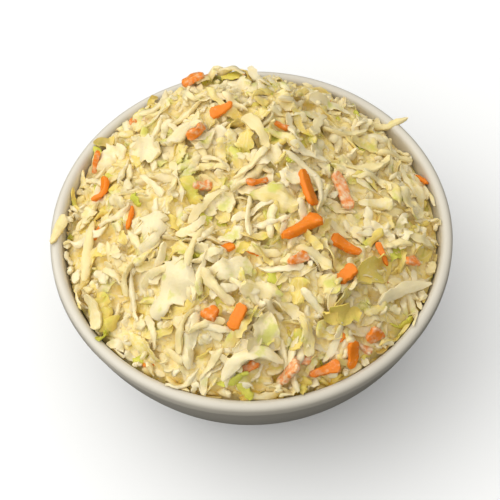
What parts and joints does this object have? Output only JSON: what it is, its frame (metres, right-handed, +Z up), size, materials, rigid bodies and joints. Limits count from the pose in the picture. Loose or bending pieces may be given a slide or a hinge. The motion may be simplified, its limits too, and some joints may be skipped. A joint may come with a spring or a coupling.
{
  "type": "bowl of coleslaw",
  "caption": "Round glazed stoneware bowl heaped with creamy coleslaw of shredded cabbage and carrot; a ready-to-serve side salad.",
  "frame": {"origin": "middle of the bowl's foot ring, on the surface it stands on", "axes": "+Z up out of the bowl's mouth; -Y is the front that the camera faces, +X is to its right"},
  "size_m": [0.15, 0.15, 0.0844],
  "materials": {
    "glazed_stoneware": "smooth cream-white glaze, glossy",
    "dressed_cabbage": "shredded cabbage, moist, pale cream to yellow",
    "green_leaf": "outer cabbage leaf, moist, yellow-green",
    "carrot": "cut raw carrot, moist, part coated with dressing",
    "dressing": "creamy dressing, soft gloss"
  },
  "bodies": {
    "root": {"bowl": "glazed_stoneware", "coleslaw": "dressed_cabbage"}
  },
  "joints": []
}
